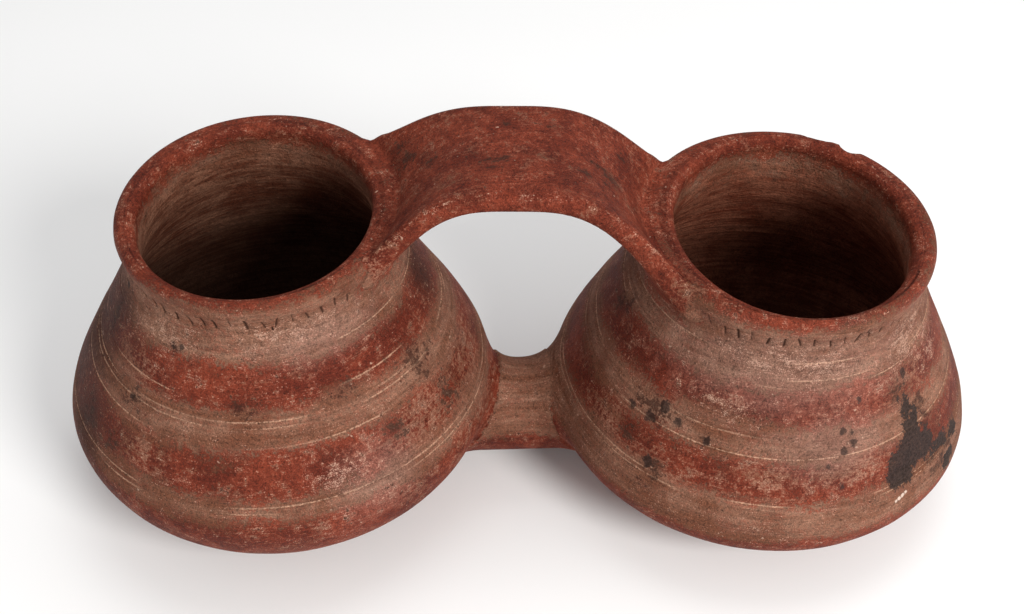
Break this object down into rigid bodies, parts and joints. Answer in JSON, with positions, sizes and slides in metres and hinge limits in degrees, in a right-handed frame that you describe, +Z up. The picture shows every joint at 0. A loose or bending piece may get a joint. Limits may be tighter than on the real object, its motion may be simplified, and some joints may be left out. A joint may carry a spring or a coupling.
{
  "type": "double pottery jar",
  "caption": "Two open round-bellied pottery jars in one fired piece, joined by a short tube at the bellies and a broad strap handle at the rims.",
  "frame": {"origin": "on the ground under the middle of the object's box", "axes": "+X from the taller jar to the lower jar, +Y to the back, +Z up"},
  "size_m": [0.345, 0.162, 0.1509],
  "materials": {
    "fired_clay": "burnished red slip in bands over buff fired clay, worn, with dark firing clouds"
  },
  "bodies": {
    "root": {"double_jar": "fired_clay"}
  },
  "joints": []
}
